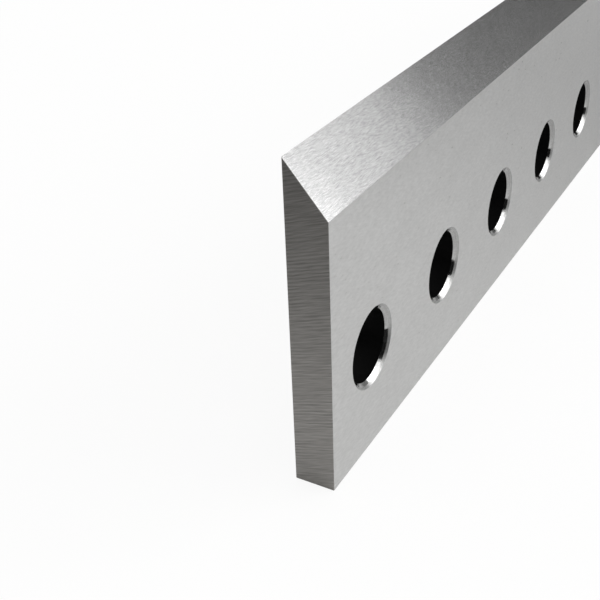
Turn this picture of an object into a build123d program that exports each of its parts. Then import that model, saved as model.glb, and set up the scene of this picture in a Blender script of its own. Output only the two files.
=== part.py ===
from build123d import *
from math import radians, tan
import os

# Driving dimensions, in millimetres and degrees
blade_width = 80.0  # back edge to cutting edge
blade_thickness = 10.0
wedge_angle = 40.0  # between the bevel and the back face
hole_count = 11
hole_pitch = 43.0
end_distance = 20.0  # blade end to the first hole's axis
back_distance = 27.5  # back edge to the hole row
hole_diameter = 18.0  # takes an M16 bolt
rim_chamfer = 1.25  # both mouths of each hole, at 45 degrees
edge_break = 0.2  # deburred outer edges

# Sizes that follow from them
blade_length = 2 * end_distance + (hole_count - 1) * hole_pitch
bevel_height = blade_thickness / tan(radians(wedge_angle))
front_y = -blade_thickness / 2
back_y = blade_thickness / 2

# The blade stands on its back edge: X along the length, front face towards -Y, cutting edge up at the back face
with BuildPart() as knife_blade:
    # Cross-section: a flat bar whose front is ground away to a single bevel that runs out in the cutting edge
    with BuildSketch(Plane.YZ):
        with BuildLine():
            Polyline(
                (front_y, 0),
                (front_y, blade_width - bevel_height),
                (back_y, blade_width),
                (back_y, 0),
                close=True,
            )
        make_face()
    extrude(amount=blade_length / 2, both=True)

    # The rims of both squared ends and the two long edges of the back are broken; bevel and cutting edge stay crisp
    end_faces = knife_blade.faces().filter_by(Axis.X)
    end_rims = end_faces.edges()
    back_edges = knife_blade.faces().sort_by(Axis.Z)[0].edges().filter_by(Axis.X)
    chamfer(end_rims + back_edges, length=edge_break)

    # Row of bolt holes through the thickness, evenly pitched and centred on the length
    with Locations(Plane.XZ.offset(-front_y).location):
        with Locations((0, back_distance)):
            with GridLocations(hole_pitch, hole_pitch, hole_count, 1):
                Hole(radius=hole_diameter / 2)

    # Every mouth, front and back, has the same 45 degree chamfer
    hole_rims = knife_blade.edges().filter_by(GeomType.CIRCLE)
    chamfer(hole_rims, length=rim_chamfer)

knife_blade.part.label = "knife_blade"

os.makedirs("parts", exist_ok=True)
export_step(knife_blade.part, "parts/knife_blade.step")
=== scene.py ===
"""Moulder knife: the dressed blade, its studio and its camera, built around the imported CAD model."""

from math import atan2, cos, hypot, pi, radians, sin, tan

import bmesh
import bpy
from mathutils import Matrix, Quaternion, Vector


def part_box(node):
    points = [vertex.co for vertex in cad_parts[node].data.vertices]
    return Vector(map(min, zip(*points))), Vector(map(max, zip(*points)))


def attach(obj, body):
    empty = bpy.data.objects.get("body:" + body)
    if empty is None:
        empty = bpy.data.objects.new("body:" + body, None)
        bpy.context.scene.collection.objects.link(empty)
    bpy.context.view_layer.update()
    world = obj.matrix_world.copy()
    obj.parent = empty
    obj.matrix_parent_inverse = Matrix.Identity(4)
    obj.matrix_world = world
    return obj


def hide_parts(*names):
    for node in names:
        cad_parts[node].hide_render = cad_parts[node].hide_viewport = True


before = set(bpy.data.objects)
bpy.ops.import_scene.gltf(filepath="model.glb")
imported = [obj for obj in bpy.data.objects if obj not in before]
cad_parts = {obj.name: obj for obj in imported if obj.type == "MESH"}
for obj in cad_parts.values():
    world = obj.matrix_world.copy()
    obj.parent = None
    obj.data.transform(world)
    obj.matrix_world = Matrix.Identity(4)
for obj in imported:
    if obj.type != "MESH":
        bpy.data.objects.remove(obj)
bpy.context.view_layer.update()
blade_low, blade_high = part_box("knife_blade")

bl_info = {
    "name": "Moulder Knife",
    "version": (1, 0, 0),
    "blender": (4, 5, 0),
    "location": "3D View > Sidebar > Moulder Knife",
    "description": "Builds a straight bolt-on moulder knife, its finishes and a photo stage",
    "category": "Object",
}

MILLIMETRE = 0.001
DEGREE = radians(1)
SURFACE_MAP = "surface_metres"


def linear(hex_colour):
    """An sRGB hex value such as #C0C0BE as Blender's linear red, green, blue and alpha."""
    channels = [int(hex_colour[i:i + 2], 16) / 255 for i in (1, 3, 5)]
    return [c / 12.92 if c <= 0.04045 else ((c + 0.055) / 1.055) ** 2.4 for c in channels] + [1.0]


# Settings

class MoulderKnifeSizes(bpy.types.PropertyGroup):
    """Sizes of the blade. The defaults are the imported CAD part's, but for the crown and the last two
    roundings, which are too fine for it."""

    length: bpy.props.FloatProperty(
        name="Length", description="End to end", unit="LENGTH",
        default=blade_high.x - blade_low.x)
    width: bpy.props.FloatProperty(
        name="Width", description="Back edge to cutting edge", unit="LENGTH",
        default=blade_high.z - blade_low.z)
    thickness: bpy.props.FloatProperty(
        name="Thickness", description="Front face to back face", unit="LENGTH",
        default=blade_high.y - blade_low.y)
    wedge_angle: bpy.props.FloatProperty(
        name="Wedge angle", description="Between the bevel and the back face",
        subtype="ANGLE", default=40 * DEGREE)
    hole_count: bpy.props.IntProperty(
        name="Holes", description="Bolt holes in the row", default=11, min=1)
    hole_pitch: bpy.props.FloatProperty(
        name="Hole pitch", description="Axis to axis along the row", unit="LENGTH",
        default=43 * MILLIMETRE)
    row_height: bpy.props.FloatProperty(
        name="Row height", description="Back edge to the hole axes", unit="LENGTH",
        default=27.5 * MILLIMETRE)
    hole_diameter: bpy.props.FloatProperty(
        name="Hole diameter", description="Clearance for the clamping bolt", unit="LENGTH",
        default=18 * MILLIMETRE)
    rim_chamfer: bpy.props.FloatProperty(
        name="Rim chamfer", description="45 degree chamfer on every hole mouth", unit="LENGTH",
        default=1.25 * MILLIMETRE)
    rim_crown: bpy.props.FloatProperty(
        name="Rim crown", description="How far the middle of a rim chamfer stands proud of a true cone",
        unit="LENGTH", default=0.01 * MILLIMETRE)
    edge_break: bpy.props.FloatProperty(
        name="Edge break", description="Rounding stoned on the end rims and the back edge",
        unit="LENGTH", default=0.2 * MILLIMETRE)
    ground_corner: bpy.props.FloatProperty(
        name="Ground corner", description="Rounding left where the bevel meets the front face",
        unit="LENGTH", default=0.05 * MILLIMETRE)
    honed_tip: bpy.props.FloatProperty(
        name="Honed tip", description="Rounding of the cutting edge itself",
        unit="LENGTH", default=0.03 * MILLIMETRE)


class MoulderKnifeFinishes(bpy.types.PropertyGroup):
    """Mean colours of the finishes, which each finish's own pattern makes lighter and darker."""

    face_colour: bpy.props.FloatVectorProperty(
        name="Flat faces", description="Surface-ground tool steel", subtype="COLOR",
        size=4, min=0, max=1, default=linear("#C8C8C7"))
    bevel_colour: bpy.props.FloatVectorProperty(
        name="Bevel", description="Cup-wheel-ground tool steel", subtype="COLOR",
        size=4, min=0, max=1, default=linear("#B3B3B3"))
    end_colour: bpy.props.FloatVectorProperty(
        name="Ends", description="Rough-ground tool steel", subtype="COLOR",
        size=4, min=0, max=1, default=linear("#8C8A87"))
    rim_colour: bpy.props.FloatVectorProperty(
        name="Hole rims", description="Turned tool steel", subtype="COLOR",
        size=4, min=0, max=1, default=linear("#AFAFAE"))
    bore_colour: bpy.props.FloatVectorProperty(
        name="Bores", description="Black heat-treatment scale", subtype="COLOR",
        size=4, min=0, max=1, default=linear("#050505"))


class MoulderKnifeStage(bpy.types.PropertyGroup):
    """The floor and the light."""

    floor_colour: bpy.props.FloatVectorProperty(
        name="Floor", description="Plain pale floor", subtype="COLOR",
        size=4, min=0, max=1, default=linear("#F6F6F5"))
    softbox_radiance: bpy.props.FloatProperty(
        name="Softbox", description="Brightness of the main softbox's face, where 1 is white",
        default=2.04, min=0)
    fill: bpy.props.FloatProperty(
        name="Fill", description="Soft light from all round, where 1 is white", default=0.83, min=0)


# Blade geometry

FACE, BEVEL, END, RIM, BORE = range(5)  # material slots of the blade

MOUTH_STEPS = 24  # quads along each side of the square round a hole mouth
MOUTH_SQUARE = 14.5 * MILLIMETRE  # from a hole's axis to the sides of that square
CROWN_STEPS = 4  # rings of quads on a rim chamfer
BREAK_STEPS = 3  # quads across a rounded edge
SLANT = 2 ** 0.5  # length of a 45 degree slope, for each unit of its depth
WELD = MILLIMETRE / 1000  # corners nearer than this are one corner
SHARP_TURN = 20 * DEGREE  # an edge that turns by less isn't broken
ROUND_TURN = 35 * DEGREE  # roundings and rims shade smoothly over turns below this
FLAT_TURN = 1 * DEGREE  # and ground flats only over turns below this
ON_A_FLAT = 0.99999  # cosine of the most that a flat's own quads lean from it
FACES_SIDEWAYS = 0.7  # x of a normal from which a face counts as the end's
FACES_DOWN = 0.95  # z of a normal from which a face counts as the back edge's


def hole_centres(sizes):
    """The holes' places along the length, centred on it."""
    return [(i - (sizes.hole_count - 1) / 2) * sizes.hole_pitch for i in range(sizes.hole_count)]


def mouth_angles():
    """Angles all round a hole, with four of them at the corners of its square."""
    count = 4 * MOUTH_STEPS
    return [2 * pi * k / count for k in range(count + 1)]


def on_circle(centre, height, radius, angle):
    """A point of a circle round a hole's axis, as its x and z."""
    return centre + radius * cos(angle), height + radius * sin(angle)


def on_square(centre, height, half, angle):
    """Where a ray from a hole's axis leaves the square round it, as its x and z."""
    reach = half / max(abs(cos(angle)), abs(sin(angle)))
    return on_circle(centre, height, reach, angle)


def square_lines():
    """Where the rays of mouth_angles cross one side of the square, from its middle."""
    step = pi / 2 / MOUTH_STEPS
    return [MOUTH_SQUARE * tan(-pi / 4 + step * k) for k in range(MOUTH_STEPS + 1)]


def length_lines(sizes):
    """Every place along the length where the quads of the long sides meet."""
    half = sizes.length / 2
    lines = [-half]
    for centre in hole_centres(sizes):
        lines += [centre + line for line in square_lines()]
    return lines + [half]


def add_face(mesh, corners, finish):
    """Adds one face; corners that coincide with another face's are welded afterwards."""
    face = mesh.faces.new([mesh.verts.new(corner) for corner in corners])
    face.material_index = finish


def add_pierced_side(mesh, sizes, y, top):
    """A flat side with its hole mouths: rings of quads round the mouths and plain quads between them."""
    centres, height = hole_centres(sizes), sizes.row_height
    mouth = sizes.hole_diameter / 2 + sizes.rim_chamfer
    angles = mouth_angles()
    for centre in centres:
        for a, b in zip(angles, angles[1:]):
            inner = [on_circle(centre, height, mouth, angle) for angle in (a, b)]
            outer = [on_square(centre, height, MOUTH_SQUARE, angle) for angle in (b, a)]
            add_face(mesh, [(x, y, z) for x, z in inner + outer], FACE)
    rows = [height + line for line in square_lines()]
    levels = [0, *rows, top]
    places = length_lines(sizes)
    for x0, x1 in zip(places, places[1:]):
        beside = all(abs((x0 + x1) / 2 - centre) > MOUTH_SQUARE for centre in centres)
        for z0, z1 in zip(levels, levels[1:]):
            in_row = rows[0] - WELD < z0 and z1 < rows[-1] + WELD
            if beside or not in_row:
                add_face(mesh, [(x0, y, z0), (x1, y, z0), (x1, y, z1), (x0, y, z1)], FACE)


def add_strip(mesh, sizes, low, high, finish):
    """A plain side of the bar between two lines along its length, each a (y, z)."""
    places = length_lines(sizes)
    for x0, x1 in zip(places, places[1:]):
        add_face(mesh, [(x0, *low), (x1, *low), (x1, *high), (x0, *high)], finish)


def add_end(mesh, sizes, x, bevel_foot):
    """An end of the bar: a row of quads up to the bevel, and the wedge above it."""
    front, back = -sizes.thickness / 2, sizes.thickness / 2
    rows = [0, *(sizes.row_height + line for line in square_lines())]
    for z0, z1 in zip(rows, rows[1:]):
        add_face(mesh, [(x, front, z0), (x, back, z0), (x, back, z1), (x, front, z1)], END)
    wedge = [(x, front, rows[-1]), (x, back, rows[-1]), (x, back, sizes.width), (x, front, bevel_foot)]
    add_face(mesh, wedge, END)


def rim_profile(sizes):
    """Radius and depth of a rim chamfer from the face to the bore. It is crowned a little, in an even arch,
    as a hand-fed cutter leaves it."""
    mouth = sizes.hole_diameter / 2 + sizes.rim_chamfer
    points = []
    for k in range(CROWN_STEPS + 1):
        share = k / CROWN_STEPS
        arch = 4 * share * (1 - share)
        crown = sizes.rim_crown * arch / SLANT
        depth = sizes.rim_chamfer * share
        points.append((mouth - depth - crown, depth - crown))
    return points


def add_hole(mesh, sizes, centre):
    """The two rim chamfers and the bore between them."""
    half = sizes.thickness / 2
    rim = rim_profile(sizes)
    rings = [(radius, depth - half) for radius, depth in rim]
    rings += [(radius, half - depth) for radius, depth in reversed(rim)]
    angles = mouth_angles()
    for i, ((r0, y0), (r1, y1)) in enumerate(zip(rings, rings[1:])):
        finish = BORE if i == CROWN_STEPS else RIM
        for a, b in zip(angles, angles[1:]):
            corners = []
            for radius, y, angle in ((r0, y0, a), (r0, y0, b), (r1, y1, b), (r1, y1, a)):
                x, z = on_circle(centre, sizes.row_height, radius, angle)
                corners.append((x, y, z))
            add_face(mesh, corners, finish)


def mark_edges(mesh, sizes):
    """Gives each outer edge its share of the edge break, and leaves the rims of the holes crisp."""
    weight = mesh.edges.layers.float.new("bevel_weight_edge")
    top, front = sizes.width, -sizes.thickness / 2
    for edge in mesh.edges:
        finishes = {face.material_index for face in edge.link_faces}
        if edge.calc_face_angle() < SHARP_TURN or finishes & {RIM, BORE}:
            continue
        height = (edge.verts[0].co.z + edge.verts[1].co.z) / 2
        if END in finishes or height < MILLIMETRE:
            edge[weight] = 1.0
        elif height > top - MILLIMETRE:
            edge[weight] = sizes.honed_tip / sizes.edge_break
        elif edge.verts[0].co.y < front + MILLIMETRE:
            edge[weight] = sizes.ground_corner / sizes.edge_break


def crisp_blade(sizes):
    """The blade's closed mesh before its edges are broken."""
    front, back = -sizes.thickness / 2, sizes.thickness / 2
    bevel_foot = sizes.width - sizes.thickness / tan(sizes.wedge_angle)
    mesh = bmesh.new()
    add_pierced_side(mesh, sizes, front, bevel_foot)
    add_pierced_side(mesh, sizes, back, sizes.width)
    add_strip(mesh, sizes, (front, 0), (back, 0), FACE)
    add_strip(mesh, sizes, (front, bevel_foot), (back, sizes.width), BEVEL)
    for x in (-sizes.length / 2, sizes.length / 2):
        add_end(mesh, sizes, x, bevel_foot)
    for centre in hole_centres(sizes):
        add_hole(mesh, sizes, centre)
    bmesh.ops.remove_doubles(mesh, verts=mesh.verts, dist=WELD)
    bmesh.ops.recalc_face_normals(mesh, faces=mesh.faces)
    if any(len(edge.link_faces) != 2 for edge in mesh.edges):
        raise RuntimeError("the blade's mesh isn't closed: a hole's square reaches past an edge")
    mark_edges(mesh, sizes)
    return mesh


def break_edges(crisp, sizes):
    """Rounds the marked edges with a bevel modifier and returns the finished mesh."""
    rough = bpy.data.meshes.new("crisp_blade")
    crisp.to_mesh(rough)
    crisp.free()
    body = bpy.data.objects.new("crisp_blade", rough)
    bpy.context.scene.collection.objects.link(body)
    rounding = body.modifiers.new("edge_break", "BEVEL")
    rounding.limit_method = "WEIGHT"
    rounding.width = sizes.edge_break
    rounding.segments = BREAK_STEPS
    rounding.use_clamp_overlap = False
    finished = bpy.data.meshes.new_from_object(body.evaluated_get(bpy.context.evaluated_depsgraph_get()))
    bpy.data.objects.remove(body)
    bpy.data.meshes.remove(rough)
    return finished


def hole_point(sizes, co, finish, middle):
    """A point in a hole, in metres: u round it, and v through the plate, or down the rim's slope."""
    centre = min(hole_centres(sizes), key=lambda place: abs(place - middle.x))
    turn, middle_turn = (atan2(point.z - sizes.row_height, point.x - centre) for point in (co, middle))
    if turn - middle_turn > pi:
        turn -= 2 * pi
    elif turn - middle_turn < -pi:
        turn += 2 * pi
    radius = hypot(co.z - sizes.row_height, co.x - centre)
    across = co.y if finish == BORE else -radius * SLANT
    return turn * sizes.hole_diameter / 2, across


def surface_point(sizes, co, normal, finish, middle):
    """Where a point of the face round middle lies on its own surface, in metres: u along the surface's
    working direction, v across it."""
    if finish in (RIM, BORE):
        return hole_point(sizes, co, finish, middle)
    if abs(normal.x) > FACES_SIDEWAYS:
        return co.y, co.z
    if abs(normal.z) > FACES_DOWN:
        return co.x, co.y
    if finish == BEVEL:
        return co.x, co.z / cos(sizes.wedge_angle)
    return co.x, co.z


def flat_normals(sizes):
    """The directions that the blade's ground flats face."""
    bevel = (0, -cos(sizes.wedge_angle), sin(sizes.wedge_angle))
    return [Vector(v) for v in ((1, 0, 0), (-1, 0, 0), (0, 1, 0), (0, -1, 0), (0, 0, -1), bevel)]


def map_surface(data, sizes):
    """Lays the surface map, in metres, and keeps every ground flat truly flat to the light."""
    mesh = bmesh.new()
    mesh.from_mesh(data)
    layer = mesh.loops.layers.uv.new(SURFACE_MAP)
    normals = flat_normals(sizes)
    flats = {face for face in mesh.faces if any(face.normal.dot(n) > ON_A_FLAT for n in normals)}
    for face in mesh.faces:
        face.smooth = True
        middle = face.calc_center_median()
        for loop in face.loops:
            loop[layer].uv = surface_point(sizes, loop.vert.co, face.normal, face.material_index, middle)
    for edge in mesh.edges:
        limit = ROUND_TURN if flats.isdisjoint(edge.link_faces) else FLAT_TURN
        edge.smooth = edge.calc_face_angle() < limit
    mesh.to_mesh(data)
    mesh.free()


# Finishes, whose lengths are in millimetres and whose angles are in degrees

NOISE_RANGE = {"From Min": 0.3, "From Max": 0.7}  # nearly all that a noise gives
NOISE_MIDDLE = {"From Min": 0.45, "From Max": 0.55}  # a step that parts a noise in two
COLOUR_A, COLOUR_B, COLOUR_RESULT = 6, 7, 2  # a Mix node's sockets for colours
ACROSS = 0.25  # of a turn, from along the strokes to the way in which they scatter light
RIDGE_SCALE = pi / 10  # at which a Wave node has one ridge for each unit

# Depths at which the patterns are cut from the noise, so that no two of them match
LAY_LAYERS = (0.0, 1.7)
CLOUD_LAYER, FEED_LAYER, BURNISH_LAYER, DRAWN_LAYER = 5.3, 8.9, 11.3, 2.0

CLOUD_STRETCH = 1.6  # length of the slow change of tone, for its width
FEED_PATCH = 0.6  # width of the patches where the feed's ridges show, for their length
FEED_SHARE = 0.25  # the ridges' largest part in the surface's height
ROUGHNESS_SWING = 0.1  # how far the roughness strays from its mean, as a part of it
TORN_BAND = 0.7  # of a rim's radius, from its mouth inward, where the countersink tore the steel
TORN_EDGE = 0.35  # over which the bright part of a rim turns to the torn band
TORN_ROUGHNESS = 0.36
SCALE_DARK, SCALE_LIGHT = 0.6, 1.5  # lightness of the scale's grain, for the bore's colour


def add_node(tree, kind, settings=None, inputs=None):
    """Adds a node; an input's value is a constant or another node's output."""
    node = tree.nodes.new(kind)
    for name, value in (settings or {}).items():
        setattr(node, name, value)
    for name, value in (inputs or {}).items():
        if isinstance(value, bpy.types.NodeSocket):
            tree.links.new(value, node.inputs[name])
        else:
            node.inputs[name].default_value = value
    return node


def new_finish(name):
    """An empty material and its surface map node."""
    finish = bpy.data.materials.new(name)
    finish.use_nodes = True
    tree = finish.node_tree
    tree.nodes.clear()
    place = add_node(tree, "ShaderNodeUVMap", {"uv_map": SURFACE_MAP}).outputs["UV"]
    return finish, tree, place


def shaded(colour, share):
    """A colour with its light scaled by share."""
    return [channel * share for channel in colour[:3]] + [1.0]


def strokes(tree, place, layer, angle, length, width, detail=1.0):
    """Streaks of a length and width, running at an angle to the surface's u."""
    turned = add_node(tree, "ShaderNodeMapping", {"vector_type": "TEXTURE"}, {
        "Vector": place, "Location": (0, 0, layer), "Rotation": (0, 0, angle * DEGREE),
        "Scale": (length * MILLIMETRE, width * MILLIMETRE, 1)})
    return add_node(tree, "ShaderNodeTexNoise", None, {
        "Vector": turned.outputs["Vector"], "Scale": 1.0, "Detail": detail,
        "Roughness": 0.6}).outputs["Fac"]


def ridges(tree, place, angle, waver, spacing):
    """Even ridges at an angle to the surface's u, each of which wavers as it goes. waver is how long it
    runs between one stray to the side and the next."""
    turned = add_node(tree, "ShaderNodeMapping", {"vector_type": "TEXTURE"}, {
        "Vector": place, "Rotation": (0, 0, angle * DEGREE),
        "Scale": (waver * MILLIMETRE, spacing * MILLIMETRE, 1)})
    return add_node(tree, "ShaderNodeTexWave", {"bands_direction": "Y"}, {
        "Vector": turned.outputs["Vector"], "Scale": RIDGE_SCALE, "Distortion": 2.0, "Detail": 1.0,
        "Detail Scale": 4.0}).outputs["Fac"]


def worked_height(tree, place, lays, cloud, feed):
    """The height of a worked surface: two sets of strokes that cross, and patches of the feed's ridges."""
    first, second = (strokes(tree, place, layer, **lay) for layer, lay in zip(LAY_LAYERS, lays))
    height = add_node(tree, "ShaderNodeMix", None, {
        "Factor": 0.5, "A": first, "B": second}).outputs["Result"]
    if feed:
        patches = strokes(
            tree, place, FEED_LAYER, angle=0, length=cloud, width=FEED_PATCH * cloud, detail=0.0)
        share = add_node(tree, "ShaderNodeMapRange", None, {
            **NOISE_RANGE, "Value": patches, "To Max": FEED_SHARE}).outputs["Result"]
        height = add_node(tree, "ShaderNodeMix", None, {
            "Factor": share, "A": height, "B": ridges(tree, place, **feed)}).outputs["Result"]
    return height


def worked_colour(tree, height, slow, cloud_share, colour, contrast):
    """The colour of a worked surface, which follows its strokes and clouds from dark to light."""
    quick_tone, slow_tone = (
        add_node(tree, "ShaderNodeMapRange", None, {**NOISE_RANGE, "Value": value}).outputs["Result"]
        for value in (height, slow))
    tone = add_node(tree, "ShaderNodeMix", None, {
        "Factor": cloud_share, "A": quick_tone, "B": slow_tone}).outputs["Result"]
    return add_node(tree, "ShaderNodeMix", {"data_type": "RGBA"}, {
        "Factor": tone, COLOUR_A: shaded(colour, 1 - contrast),
        COLOUR_B: shaded(colour, 1 + contrast)}).outputs[COLOUR_RESULT]


def worked_roughness(tree, place, height, slow, cloud_share, roughness, burnish, torn_from):
    """The roughness of a worked surface, which follows its strokes and clouds about a mean."""
    both = add_node(tree, "ShaderNodeMix", None, {
        "Factor": cloud_share, "A": height, "B": slow}).outputs["Result"]
    rough = add_node(tree, "ShaderNodeMapRange", None, {
        **NOISE_RANGE, "Value": both, "To Min": roughness * (1 - ROUGHNESS_SWING),
        "To Max": roughness * (1 + ROUGHNESS_SWING)}).outputs["Result"]
    if burnish:
        finest = strokes(tree, place, BURNISH_LAYER, angle=0, length=0.05, width=0.01)
        tops = add_node(tree, "ShaderNodeMapRange", None, {**NOISE_MIDDLE, "Value": finest})
        rough = add_node(tree, "ShaderNodeMix", None, {
            "Factor": tops.outputs["Result"], "A": rough, "B": burnish}).outputs["Result"]
    if torn_from:
        v = add_node(tree, "ShaderNodeSeparateXYZ", None, {"Vector": place}).outputs["Y"]
        torn = add_node(tree, "ShaderNodeMapRange", {"interpolation_type": "SMOOTHSTEP"}, {
            "Value": v, "From Min": torn_from * MILLIMETRE,
            "From Max": (torn_from - TORN_EDGE) * MILLIMETRE})
        rough = add_node(tree, "ShaderNodeMix", None, {
            "Factor": torn.outputs["Result"], "A": rough, "B": TORN_ROUGHNESS}).outputs["Result"]
    return rough


def worked_steel(name, colour, contrast, roughness, grip, lays, depth, cloud, cloud_share,
                 feed=None, burnish=None, torn_from=None):
    """Tool steel as an abrasive wheel or a cutter leaves it: crossing strokes, each with its groove, under
    a slow change of tone. grip is how much more the metal scatters light across the strokes than along
    them, lays the two sets of strokes, depth that of their grooves, cloud the size of the slow change and
    cloud_share its part in the whole. feed is a comb of even ridges, which comes and goes over the
    surface. burnish is the roughness of the finest strokes' tops where the wheel has rubbed them smooth;
    they are too fine to tell apart and give the metal a sharp reflection within a soft one. torn_from is
    where, along v, a band with a torn and much duller surface starts."""
    finish, tree, place = new_finish(name)
    height = worked_height(tree, place, lays, cloud, feed)
    slow = strokes(
        tree, place, CLOUD_LAYER, angle=0, length=CLOUD_STRETCH * cloud, width=cloud, detail=2.0)
    colours = worked_colour(tree, height, slow, cloud_share, colour, contrast)
    rough = worked_roughness(tree, place, height, slow, cloud_share, roughness, burnish, torn_from)
    grooves = add_node(tree, "ShaderNodeBump", None, {
        "Height": height, "Distance": depth * MILLIMETRE, "Strength": 1.0})
    along = add_node(tree, "ShaderNodeTangent", {"direction_type": "UV_MAP", "uv_map": SURFACE_MAP})
    steel = add_node(tree, "ShaderNodeBsdfPrincipled", None, {
        "Metallic": 1.0, "Base Color": colours, "Roughness": rough, "Anisotropic": grip,
        "Anisotropic Rotation": ACROSS, "Tangent": along.outputs["Tangent"],
        "Normal": grooves.outputs["Normal"]})
    add_node(tree, "ShaderNodeOutputMaterial", None, {"Surface": steel.outputs["BSDF"]})
    return finish


def surface_ground_steel(finishes):
    """Hardened tool steel off a surface grinder with a fine wheel. It gives the eye an even, satin grey,
    with strokes so fine that only a faint mottle is left. Real strokes are 0.05 mm wide and are drawn
    0.6 mm wide."""
    return worked_steel(
        "surface_ground_tool_steel", finishes.face_colour, contrast=0.11, roughness=0.3, grip=0.2,
        lays=(dict(angle=-20, length=2.5, width=0.6), dict(angle=8, length=2, width=0.7)),
        depth=0.0012, cloud=9, cloud_share=0.2)


def cup_ground_steel(finishes):
    """The bevel, ground with the face of a cup wheel that crosses its own marks. It gives the eye short
    bright strokes along the blade on a brighter grey. Real strokes are 0.1 mm wide and are drawn 0.15 mm
    wide."""
    return worked_steel(
        "cup_ground_tool_steel", finishes.bevel_colour, contrast=0.34, roughness=0.45, grip=0.63,
        lays=(dict(angle=3, length=3, width=0.14), dict(angle=-8, length=1.6, width=0.16)),
        depth=0.0015, cloud=5, cloud_share=0.08, burnish=0.16)


def rough_ground_steel(finishes):
    """The ends, cut to length and ground with a coarse wheel held a little askew. It gives the eye a dull
    dark grey combed by long parallel lines. The finest lines are drawn 0.2 mm wide, for 0.1 mm, and the
    feed's own lines are 0.8 mm apart, as on the real one."""
    return worked_steel(
        "rough_ground_tool_steel", finishes.end_colour, contrast=0.35, roughness=0.42, grip=0.5,
        lays=(dict(angle=-22, length=5, width=0.22), dict(angle=-17, length=7, width=0.26)),
        depth=0.006, cloud=14, cloud_share=0.08, feed=dict(angle=-18, waver=4.8, spacing=0.8))


def turned_steel(finishes, sizes):
    """The rim chamfers, cut bright with a countersink after hardening. It gives the eye nearly clear
    reflections, broken by fine rings and a few chatter marks across them, and a matt band along the mouth,
    where the cutter tore the steel. The rings are drawn 0.25 mm apart, for 0.05 mm."""
    mouth = (sizes.hole_diameter / 2 + sizes.rim_chamfer) / MILLIMETRE
    return worked_steel(
        "countersunk_tool_steel", finishes.rim_colour, contrast=0.25, roughness=0.09, grip=0.2,
        lays=(dict(angle=0, length=3, width=0.25), dict(angle=90, length=1, width=0.35)),
        depth=0.0015, cloud=3, cloud_share=0.2, torn_from=-(mouth - TORN_BAND) * SLANT)


def heat_scale(finishes):
    """The bores, left with the thin black iron oxide of hardening. It gives the eye a near-black, dull wall
    that shows only a faint sheen. The scale's grain is drawn 0.6 mm across, for 0.1 mm, over marks 5 mm
    long that run down the bore."""
    finish, tree, place = new_finish("black_heat_scale")
    grain = strokes(tree, place, LAY_LAYERS[0], angle=0, length=0.6, width=0.6)
    drawn = strokes(tree, place, DRAWN_LAYER, angle=90, length=5, width=0.5)
    both = add_node(tree, "ShaderNodeMix", None, {"Factor": 0.5, "A": grain, "B": drawn}).outputs["Result"]
    tone = add_node(tree, "ShaderNodeMapRange", None, {**NOISE_RANGE, "Value": both}).outputs["Result"]
    colours = add_node(tree, "ShaderNodeMix", {"data_type": "RGBA"}, {
        "Factor": tone, COLOUR_A: shaded(finishes.bore_colour, SCALE_DARK),
        COLOUR_B: shaded(finishes.bore_colour, SCALE_LIGHT)}).outputs[COLOUR_RESULT]
    rough = add_node(tree, "ShaderNodeMapRange", None, {
        **NOISE_RANGE, "Value": both, "To Min": 0.42, "To Max": 0.6}).outputs["Result"]
    bumps = add_node(tree, "ShaderNodeBump", None, {
        "Height": both, "Distance": 0.004 * MILLIMETRE, "Strength": 1.0})
    scale = add_node(tree, "ShaderNodeBsdfPrincipled", None, {
        "Metallic": 0.0, "Base Color": colours, "Roughness": rough, "Specular IOR Level": 0.05,
        "Normal": bumps.outputs["Normal"]})
    add_node(tree, "ShaderNodeOutputMaterial", None, {"Surface": scale.outputs["BSDF"]})
    return finish


# Stage, whose places are in metres and whose bearings and rises are in degrees

NEAR_END = Vector((blade_low.x, 0, 0.06))  # on the end that faces the camera, a little below the bevel
SOFTBOX_DISTANCE = 2.2
CARD_DISTANCE = 5  # well behind the softboxes, so that no card hides one
CARD_STRIPS = 16  # flat strips that make up a curved card
CARD_FOOT = -4  # rise of the cards' lower edges, which are below the floor
BLACK_CLOTH = 0.02  # tone of the black cards

FLOOR_RADIUS = 30
FLOOR_DROP = 0.02 * MILLIMETRE  # from the blade's back edge to the floor, so that the two don't flicker
SHADOW_REACH, WHITE_REACH = 0.3, 0.9  # from the origin, between which the floor turns pure white
SHADOW_WHITENESS = 0.88  # white's share in the floor near the blade, where the shadow has the rest


def towards(bearing, rise):
    """A direction: bearing from the blade's front (-Y) towards +X, rise above the floor."""
    a, e = bearing * DEGREE, rise * DEGREE
    return Vector((sin(a) * cos(e), -cos(a) * cos(e), sin(e)))


def white_to_the_eye(tree):
    """1 for the rays that show the background: from the camera, or by way of metal or glass."""
    path = add_node(tree, "ShaderNodeLightPath")
    share = path.outputs["Is Camera Ray"]
    for ray in ("Is Glossy Ray", "Is Transmission Ray"):
        either = add_node(tree, "ShaderNodeMath", {"operation": "MAXIMUM"}, {
            0: share, 1: path.outputs[ray]})
        share = either.outputs["Value"]
    return share


def add_backdrop_light(settings):
    """The world: white to the eye, and an even fill for everything else."""
    world = bpy.data.worlds.new("studio")
    world.use_nodes = True
    tree = world.node_tree
    tree.nodes.clear()
    strength = add_node(tree, "ShaderNodeMix", None, {
        "Factor": white_to_the_eye(tree), "A": settings.fill, "B": 1.0}).outputs["Result"]
    sky = add_node(tree, "ShaderNodeBackground", None, {"Color": (1, 1, 1, 1), "Strength": strength})
    add_node(tree, "ShaderNodeOutputWorld", None, {"Surface": sky.outputs["Background"]})
    bpy.context.scene.world = world


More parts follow.
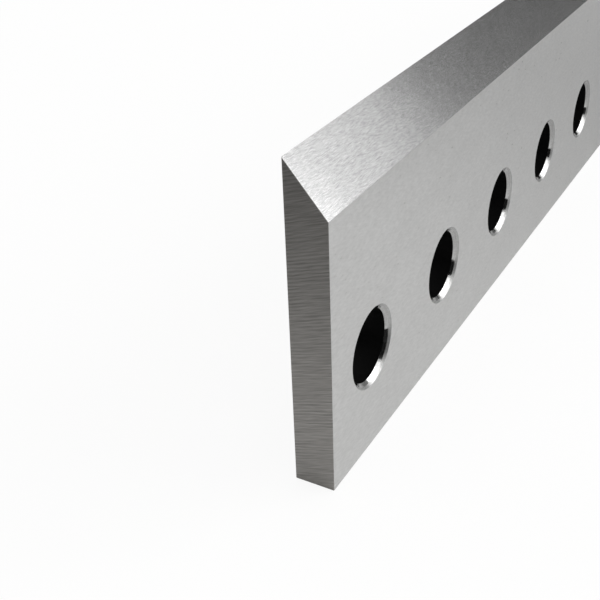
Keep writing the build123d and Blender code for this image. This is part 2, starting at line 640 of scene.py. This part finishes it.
def floor_paint(settings):
    """Matt pale paint. It keeps the blade's soft shadow and turns pure white to the eye away from it."""
    paint = bpy.data.materials.new("pale_floor_paint")
    paint.use_nodes = True
    tree = paint.node_tree
    tree.nodes.clear()
    place = add_node(tree, "ShaderNodeTexCoord").outputs["Object"]
    away = add_node(tree, "ShaderNodeVectorMath", {"operation": "LENGTH"}, {0: place}).outputs["Value"]
    whiter = add_node(tree, "ShaderNodeMapRange", {"interpolation_type": "SMOOTHSTEP"}, {
        "Value": away, "From Min": SHADOW_REACH, "From Max": WHITE_REACH,
        "To Min": SHADOW_WHITENESS}).outputs["Result"]
    share = add_node(tree, "ShaderNodeMath", {"operation": "MULTIPLY"}, {
        0: whiter, 1: white_to_the_eye(tree)}).outputs["Value"]
    matt = add_node(tree, "ShaderNodeBsdfDiffuse", None, {"Color": settings.floor_colour})
    white = add_node(tree, "ShaderNodeEmission", None, {"Color": (1, 1, 1, 1), "Strength": 1.0})
    mixed = add_node(tree, "ShaderNodeMixShader", None, {
        0: share, 1: matt.outputs["BSDF"], 2: white.outputs["Emission"]})
    add_node(tree, "ShaderNodeOutputMaterial", None, {"Surface": mixed.outputs["Shader"]})
    return paint


def add_floor(settings):
    """A floor so wide that its edge isn't seen."""
    mesh = bmesh.new()
    bmesh.ops.create_circle(mesh, cap_ends=True, segments=64, radius=FLOOR_RADIUS)
    data = bpy.data.meshes.new("floor")
    mesh.to_mesh(data)
    mesh.free()
    data.materials.append(floor_paint(settings))
    floor = bpy.data.objects.new("floor", data)
    floor.location.z = -FLOOR_DROP
    bpy.context.scene.collection.objects.link(floor)


def add_softbox(name, radiance, bearing, rise, width, height, roll=0):
    """A softbox that faces the blade's near end. An area lamp of P watts and area A shines with P / 4A."""
    lamp = bpy.data.lights.new(name, "AREA")
    lamp.shape = "RECTANGLE"
    lamp.size, lamp.size_y = width, height
    lamp.energy = 4 * radiance * width * height
    direction = towards(bearing, rise)
    box = bpy.data.objects.new(name, lamp)
    box.location = NEAR_END + direction * SOFTBOX_DISTANCE
    box.rotation_mode = "QUATERNION"
    box.rotation_quaternion = direction.to_track_quat("Z", "Y") @ Quaternion((0, 0, 1), roll * DEGREE)
    box.visible_camera = False
    bpy.context.scene.collection.objects.link(box)


def standing(bearings, rises):
    """Strips of a card that stands round the blade's near end, as the near end sees it."""
    start, end = bearings
    low, high = rises
    turns = [start + (end - start) * k / CARD_STRIPS for k in range(CARD_STRIPS + 1)]
    return [[NEAR_END + towards(bearing, rise) * CARD_DISTANCE
             for bearing, rise in ((a, low), (b, low), (b, high), (a, high))]
            for a, b in zip(turns, turns[1:])]


def lying(*corners, lift=0):
    """The one strip of a board that lies on the floor, by its four corners."""
    return [[Vector((x, y, lift)) for x, y in corners]]


def card_cloth(name, tone, fade):
    """Matt grey cloth, of one tone or with a slow change to another one."""
    cloth = bpy.data.materials.new(name)
    cloth.use_nodes = True
    tree = cloth.node_tree
    tree.nodes.clear()
    grey = (tone, tone, tone, 1)
    if fade:
        place = add_node(tree, "ShaderNodeTexCoord").outputs["Object"]
        along = add_node(tree, "ShaderNodeVectorMath", {"operation": "DOT_PRODUCT"}, {
            0: place, 1: fade["direction"]}).outputs["Value"]
        grey = add_node(tree, "ShaderNodeMapRange", {"interpolation_type": "SMOOTHSTEP"}, {
            "Value": along, "From Min": fade["start"], "From Max": fade["end"], "To Min": tone,
            "To Max": fade["last_tone"]}).outputs["Result"]
    matt = add_node(tree, "ShaderNodeBsdfDiffuse", None, {"Color": grey})
    add_node(tree, "ShaderNodeOutputMaterial", None, {"Surface": matt.outputs["BSDF"]})
    return cloth


def add_card(name, strips, tone, fade=None):
    """A card, board or mat that shows only in the metal, made of strips of four corners each. fade gives
    the direction of a change of tone, where it starts and ends, and the last tone."""
    data = bpy.data.meshes.new(name)
    corners = [corner for strip in strips for corner in strip]
    data.from_pydata(corners, [], [range(i, i + 4) for i in range(0, len(corners), 4)])
    data.materials.append(card_cloth(name + "_cloth", tone, fade))
    card = bpy.data.objects.new(name, data)
    card.visible_camera = card.visible_diffuse = card.visible_shadow = False
    bpy.context.scene.collection.objects.link(card)


def add_softboxes(white):
    """The main softbox, a weaker one nearer the front, and a faint one further round that leans over."""
    add_softbox("softbox", white, bearing=37.4, rise=32.7, width=1.52, height=1.26)
    add_softbox("softbox_side", 0.48 * white, bearing=11, rise=36, width=0.6, height=1.2)
    add_softbox("softbox_right", 0.2 * white, bearing=57.5, rise=26.3, width=0.82, height=1.1,
                roll=-49.5)


def add_cards():
    """Upright cards round the blade: black ones, and grey ones between them and under them."""
    right, far_right = (66, 72), (72, 125)
    right_top, far_top, black_top = 9.5, 5.5, 50
    add_card("card_front_left", standing((-45, -3.5), (CARD_FOOT, 27)), BLACK_CLOTH)
    add_card("card_front", standing((-3.5, 50), (CARD_FOOT, 15)), tone=0.55)
    add_card("card_front_right", standing((50, 66), (CARD_FOOT, 16)), tone=0.42)
    add_card("card_right_low", tone=0.45, strips=(
        standing(right, (CARD_FOOT, right_top)) + standing(far_right, (CARD_FOOT, far_top))))
    add_card("card_right", tone=BLACK_CLOTH, strips=(
        standing(right, (right_top, black_top)) + standing(far_right, (far_top, black_top))))
    add_card("card_rear_left", standing((-165, -95), (CARD_FOOT, 35)), BLACK_CLOTH)


def add_boards():
    """What lies on the floor: two boards that meet a little short of the blade, and a dark mat."""
    seam, reach = -0.25, 5
    add_card("board", lying((seam, -reach), (reach, -reach), (reach, reach), (seam, reach)), tone=0.9,
             fade=dict(direction=(1, 0.36, 0), start=-0.28, end=0.11, last_tone=0.53))
    add_card("board_left", lying((-reach, -reach), (seam, -reach), (seam, reach), (-reach, reach)),
             tone=0.15, fade=dict(direction=(1, 0, 0), start=-0.4, end=seam, last_tone=0.95))
    add_card("mat", tone=0.03, strips=lying(
        (-3, -reach), (-1.3, -reach), (-0.222, -0.05), (-0.28, -0.05), lift=0.1 * MILLIMETRE))


def add_camera():
    """The photograph's camera, fitted to the blade's straight edges and hole rims."""
    lens = bpy.data.cameras.new("photo_camera")
    lens.sensor_width = 36
    lens.lens = 58.96
    lens.clip_start, lens.clip_end = 0.01, 100
    camera = bpy.data.objects.new("photo_camera", lens)
    camera.location = (-0.384616, -0.086163, 0.152273)
    camera.rotation_euler = (59.22342 * DEGREE, 1.9596 * DEGREE, -60.64939 * DEGREE)
    bpy.context.scene.collection.objects.link(camera)
    bpy.context.scene.camera = camera


# Operators

class MOULDERKNIFE_OT_blade(bpy.types.Operator):
    """Build the blade with its bevel, bolt holes, broken edges and finishes"""

    bl_idname = "moulder_knife.blade"
    bl_label = "Ground Blade"

    def execute(self, context):
        sizes, finishes = context.scene.moulder_knife_sizes, context.scene.moulder_knife_finishes
        mesh = break_edges(crisp_blade(sizes), sizes)
        mesh.name = "ground_blade"
        map_surface(mesh, sizes)
        in_slot_order = (
            surface_ground_steel(finishes), cup_ground_steel(finishes), rough_ground_steel(finishes),
            turned_steel(finishes, sizes), heat_scale(finishes))
        for finish in in_slot_order:
            mesh.materials.append(finish)
        blade = bpy.data.objects.new("ground_blade", mesh)
        context.scene.collection.objects.link(blade)
        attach(blade, "root")
        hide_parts("knife_blade")
        return {"FINISHED"}


class MOULDERKNIFE_OT_stage(bpy.types.Operator):
    """Set the pale floor, the softboxes, the cards and boards, the fill light and the camera"""

    bl_idname = "moulder_knife.stage"
    bl_label = "Photo Stage"

    def execute(self, context):
        settings = context.scene.moulder_knife_stage
        context.scene.view_settings.view_transform = "Standard"
        add_backdrop_light(settings)
        add_floor(settings)
        add_softboxes(settings.softbox_radiance)
        add_cards()
        add_boards()
        add_camera()
        return {"FINISHED"}


class MOULDERKNIFE_PT_sidebar(bpy.types.Panel):
    """Sizes, finishes and stage of the moulder knife"""

    bl_idname = "MOULDERKNIFE_PT_sidebar"
    bl_label = "Moulder Knife"
    bl_space_type = "VIEW_3D"
    bl_region_type = "UI"
    bl_category = "Moulder Knife"

    def draw(self, context):
        scene = context.scene
        for group, operator in ((scene.moulder_knife_sizes, None),
                                (scene.moulder_knife_finishes, "moulder_knife.blade"),
                                (scene.moulder_knife_stage, "moulder_knife.stage")):
            box = self.layout.box()
            for name in type(group).__annotations__:
                box.prop(group, name)
            if operator:
                box.operator(operator)


CLASSES = (MoulderKnifeSizes, MoulderKnifeFinishes, MoulderKnifeStage,
           MOULDERKNIFE_OT_blade, MOULDERKNIFE_OT_stage, MOULDERKNIFE_PT_sidebar)


def register():
    for cls in CLASSES:
        bpy.utils.register_class(cls)
    bpy.types.Scene.moulder_knife_sizes = bpy.props.PointerProperty(type=MoulderKnifeSizes)
    bpy.types.Scene.moulder_knife_finishes = bpy.props.PointerProperty(type=MoulderKnifeFinishes)
    bpy.types.Scene.moulder_knife_stage = bpy.props.PointerProperty(type=MoulderKnifeStage)


def unregister():
    del bpy.types.Scene.moulder_knife_stage
    del bpy.types.Scene.moulder_knife_finishes
    del bpy.types.Scene.moulder_knife_sizes
    for cls in reversed(CLASSES):
        bpy.utils.unregister_class(cls)


def main():
    """Builds the stage and the blade."""
    register()
    bpy.ops.moulder_knife.stage()
    bpy.ops.moulder_knife.blade()


if __name__ == "__main__":
    main()
